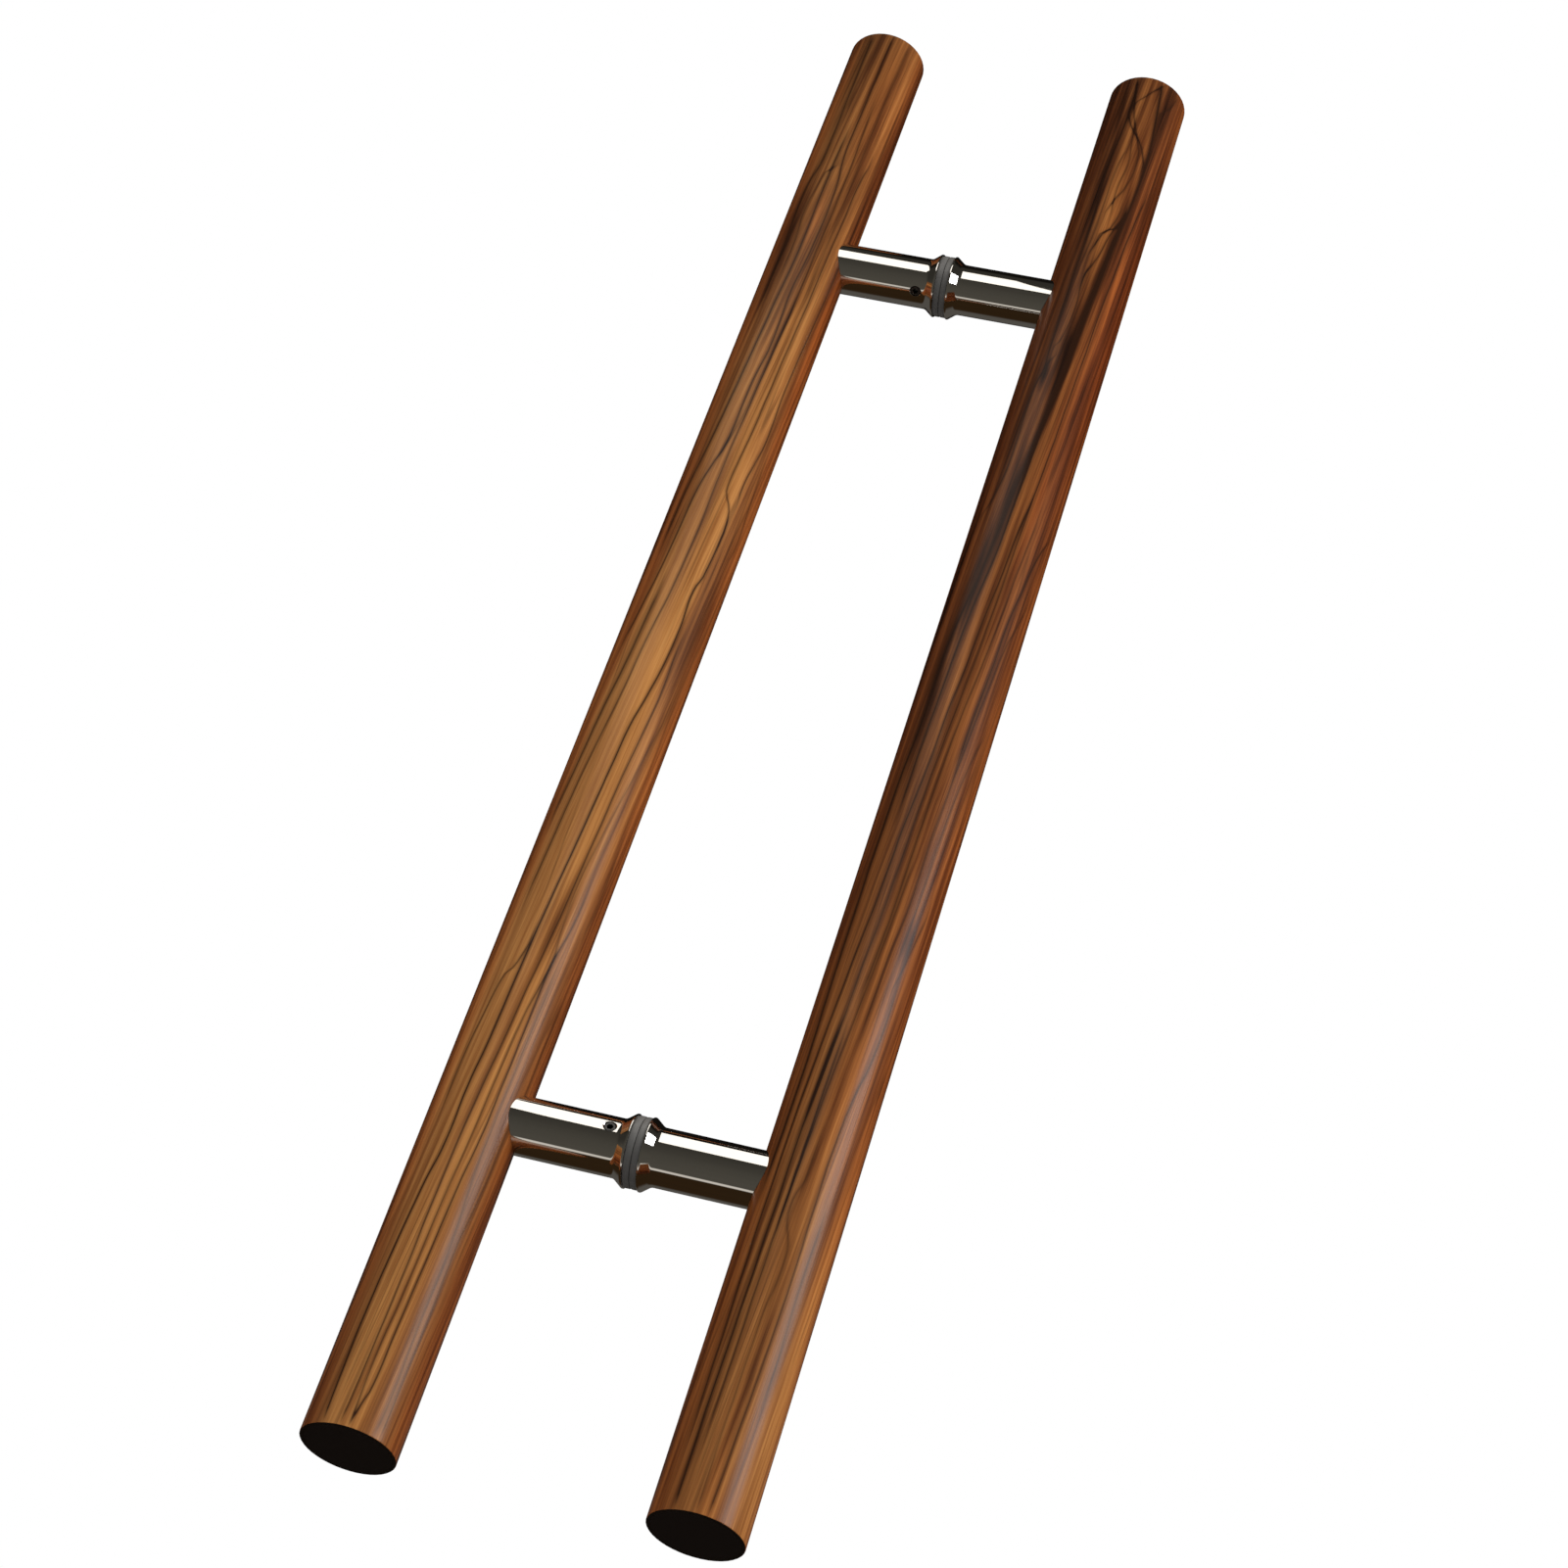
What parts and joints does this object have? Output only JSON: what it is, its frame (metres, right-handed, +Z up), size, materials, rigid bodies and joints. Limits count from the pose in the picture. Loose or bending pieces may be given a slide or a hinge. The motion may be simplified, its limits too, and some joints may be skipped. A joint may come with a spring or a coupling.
{
  "type": "ladder pull handle",
  "caption": "Back-to-back ladder door pull: two long round wood-grain bars joined through the door by polished posts with soft washers.",
  "frame": {"origin": "centre of the pair, in the mid plane of the door, halfway between the two posts", "axes": "+Z up along the bars, +X from the left bar through the door to the right bar, +Y across, along the face of the door"},
  "size_m": [0.172, 0.0378, 0.8],
  "materials": {
    "wood_grain": "steel tube with a brown wood-grain coating under clear high-gloss lacquer",
    "black_plastic": "smooth moulded black",
    "polished_steel": "mirror-polished stainless steel",
    "grey_rubber": "smooth, slightly translucent grey",
    "zinc_steel": "bright zinc-plated steel",
    "black_steel": "blackened steel"
  },
  "bodies": {
    "root": {"left_bar": "wood_grain", "left_bar_top_cap": "black_plastic", "left_bar_bottom_cap": "black_plastic", "upper_left_post": "polished_steel", "upper_left_gasket": "grey_rubber", "upper_left_bar_stud": "zinc_steel", "upper_left_bar_insert": "zinc_steel", "lower_left_post": "polished_steel", "lower_left_gasket": "grey_rubber", "lower_left_bar_stud": "zinc_steel", "lower_left_bar_insert": "zinc_steel", "right_bar": "wood_grain", "right_bar_top_cap": "black_plastic", "right_bar_bottom_cap": "black_plastic", "upper_right_post": "polished_steel", "upper_right_gasket": "grey_rubber", "upper_right_bar_stud": "zinc_steel", "upper_right_bar_insert": "zinc_steel", "lower_right_post": "polished_steel", "lower_right_gasket": "grey_rubber", "lower_right_bar_stud": "zinc_steel", "lower_right_bar_insert": "zinc_steel", "upper_through_stud": "zinc_steel", "upper_clamp_nut": "zinc_steel", "upper_grub_screw": "black_steel", "lower_through_stud": "zinc_steel", "lower_clamp_nut": "zinc_steel", "lower_grub_screw": "black_steel"}
  },
  "joints": []
}
